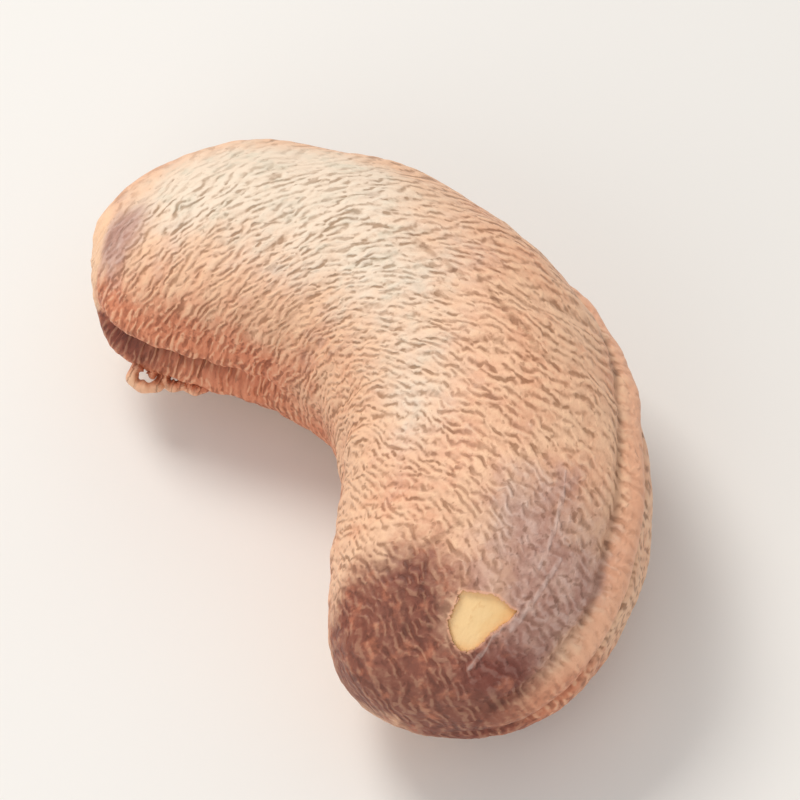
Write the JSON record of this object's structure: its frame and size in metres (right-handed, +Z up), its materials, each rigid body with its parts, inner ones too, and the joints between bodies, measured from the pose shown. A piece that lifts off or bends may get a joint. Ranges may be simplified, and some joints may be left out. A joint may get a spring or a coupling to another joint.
{
  "type": "salted cashew nut",
  "caption": "Curved, kidney-shaped roasted nut in a thin brown skin with a raised back rib, its pale kernel showing where the skin has flaked.",
  "frame": {"origin": "middle of the nut's base, on the surface it lies on", "axes": "+Z up, through the nut's thickness; +X along its length, towards the broad arm; the rounded back faces +Y and the hollow of the bend faces -Y"},
  "size_m": [0.03, 0.0176, 0.0126],
  "materials": {
    "kernel": "smooth pale yellow roasted kernel, faintly oily, half matt",
    "skin": "dry papery brown skin, matt, finely wrinkled, with a pale salt bloom"
  },
  "bodies": {
    "root": {"kernel": "kernel", "skin": "skin"}
  },
  "joints": []
}
